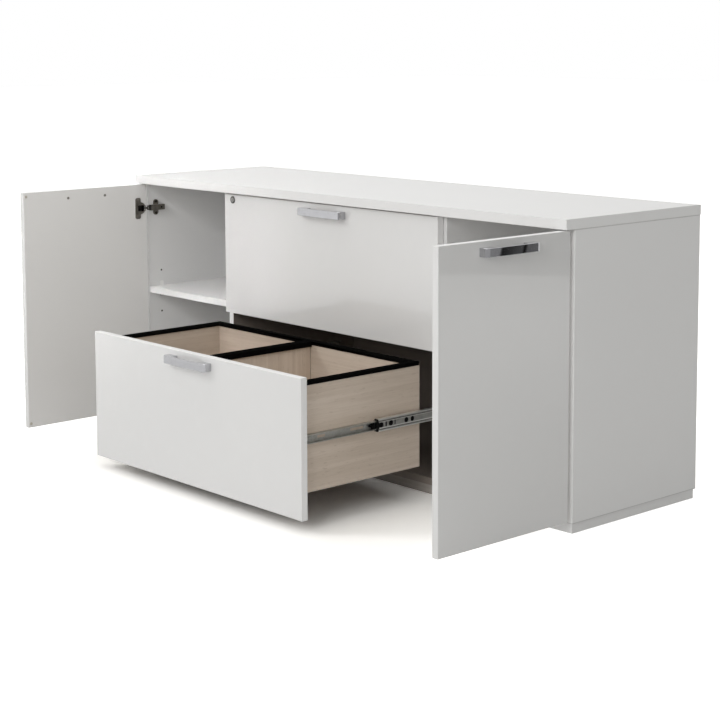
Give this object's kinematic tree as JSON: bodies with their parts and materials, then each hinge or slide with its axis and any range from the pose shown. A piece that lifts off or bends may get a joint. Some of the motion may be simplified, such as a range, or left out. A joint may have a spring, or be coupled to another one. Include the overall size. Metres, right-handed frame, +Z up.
{
  "type": "lateral filing cabinet",
  "caption": "Low, wide office cabinet with stacked file drawers on telescopic runners between hinged door compartments with shelves, under one long top panel.",
  "frame": {"origin": "on the floor under the middle of the carcass", "axes": "+Z up, +X to the right of someone facing the cabinet, front towards -Y"},
  "size_m": [1.7758, 0.966, 0.75],
  "materials": {
    "white_satin": "satin white melamine on board",
    "white_gloss": "high-gloss white lacquer on board",
    "box_wood": "matt grey-brown birch veneer",
    "file_rail": "black satin",
    "lever_black": "black moulded",
    "runner_zinc": "bright zinc plated",
    "hinge_nickel": "nickel plated",
    "handle_metal": "satin",
    "lock_metal": "satin nickel"
  },
  "bodies": {
    "carcass": {"top_panel": "white_satin", "base_board": "white_satin", "bottom_panel": "white_satin", "back_panel": "white_satin", "left_end_panel": "white_satin", "left_divider": "white_satin", "left_shelf": "white_satin", "left_upper_hinge_arm": "hinge_nickel", "left_lower_hinge_arm": "hinge_nickel", "right_end_panel": "white_satin", "right_divider": "white_satin", "right_shelf": "white_satin", "right_upper_hinge_arm": "hinge_nickel", "right_lower_hinge_arm": "hinge_nickel", "upper_left_cabinet_member": "runner_zinc", "upper_right_cabinet_member": "runner_zinc", "lower_left_cabinet_member": "runner_zinc", "lower_right_cabinet_member": "runner_zinc"},
    "left_door": {"left_door": "white_gloss", "left_door_handle": "handle_metal", "left_upper_hinge_cup": "hinge_nickel", "left_lower_hinge_cup": "hinge_nickel"},
    "left_hinge_links": {"left_upper_hinge_link": "hinge_nickel", "left_lower_hinge_link": "hinge_nickel"},
    "right_door": {"right_door": "white_gloss", "right_door_handle": "handle_metal", "right_upper_hinge_cup": "hinge_nickel", "right_lower_hinge_cup": "hinge_nickel"},
    "right_hinge_links": {"right_upper_hinge_link": "hinge_nickel", "right_lower_hinge_link": "hinge_nickel"},
    "upper_drawer": {"upper_drawer_front": "white_gloss", "upper_drawer_handle": "handle_metal", "upper_box_back": "box_wood", "upper_box_bottom": "box_wood", "upper_box_partition": "box_wood", "upper_file_rails": "file_rail", "upper_box_left_side": "box_wood", "upper_left_drawer_member": "runner_zinc", "upper_left_release_lever": "lever_black", "upper_box_right_side": "box_wood", "upper_right_drawer_member": "runner_zinc", "upper_right_release_lever": "lever_black", "lock_barrel": "handle_metal"},
    "upper_runner_middles": {"upper_left_middle_member": "runner_zinc", "upper_right_middle_member": "runner_zinc"},
    "lower_drawer": {"lower_drawer_front": "white_gloss", "lower_drawer_handle": "handle_metal", "lower_box_back": "box_wood", "lower_box_bottom": "box_wood", "lower_box_partition": "box_wood", "lower_file_rails": "file_rail", "lower_box_left_side": "box_wood", "lower_left_drawer_member": "runner_zinc", "lower_left_release_lever": "lever_black", "lower_box_right_side": "box_wood", "lower_right_drawer_member": "runner_zinc", "lower_right_release_lever": "lever_black"},
    "lower_runner_middles": {"lower_left_middle_member": "runner_zinc", "lower_right_middle_member": "runner_zinc"},
    "lock": {"lock_plug": "lock_metal"}
  },
  "joints": [
    {"name": "left_door_hinge", "type": "hinge", "parent": "carcass", "child": "left_door", "pos_m": [-0.8595, -0.25358, 0.3765], "axis": [0, 0, 1], "range_deg": [-20, 90]},
    {"name": "left_hinge_link_turn", "type": "hinge", "parent": "carcass", "child": "left_hinge_links", "pos_m": [-0.8595, -0.25358, 0.3765], "axis": [0, 0, 1], "range_deg": [-5, 22.5]},
    {"name": "right_door_hinge", "type": "hinge", "parent": "carcass", "child": "right_door", "pos_m": [0.8595, -0.25358, 0.3765], "axis": [0, 0, 1], "range_deg": [-90, 20]},
    {"name": "right_hinge_link_turn", "type": "hinge", "parent": "carcass", "child": "right_hinge_links", "pos_m": [0.8595, -0.25358, 0.3765], "axis": [0, 0, 1], "range_deg": [-22.5, 5]},
    {"name": "upper_drawer_slide", "type": "slide", "parent": "carcass", "child": "upper_drawer", "axis": [0, -1, 0], "range_m": [0, 0.448]},
    {"name": "upper_runner_slide", "type": "slide", "parent": "carcass", "child": "upper_runner_middles", "axis": [0, -1, 0], "range_m": [0, 0.224]},
    {"name": "lower_drawer_slide", "type": "slide", "parent": "carcass", "child": "lower_drawer", "axis": [0, -1, 0], "range_m": [-0.448, 0]},
    {"name": "lower_runner_slide", "type": "slide", "parent": "carcass", "child": "lower_runner_middles", "axis": [0, -1, 0], "range_m": [-0.224, 0]},
    {"name": "lock_turn", "type": "hinge", "parent": "upper_drawer", "child": "lock", "pos_m": [-0.398, -0.257, 0.706], "axis": [0, 1, 0], "range_deg": [-90, 0]}
  ],
  "couplings": [
    {"joint": "left_hinge_link_turn", "follows": "left_door_hinge", "ratio": 0.25},
    {"joint": "right_hinge_link_turn", "follows": "right_door_hinge", "ratio": 0.25},
    {"joint": "upper_runner_slide", "follows": "upper_drawer_slide", "ratio": 0.5},
    {"joint": "lower_runner_slide", "follows": "lower_drawer_slide", "ratio": 0.5}
  ]
}
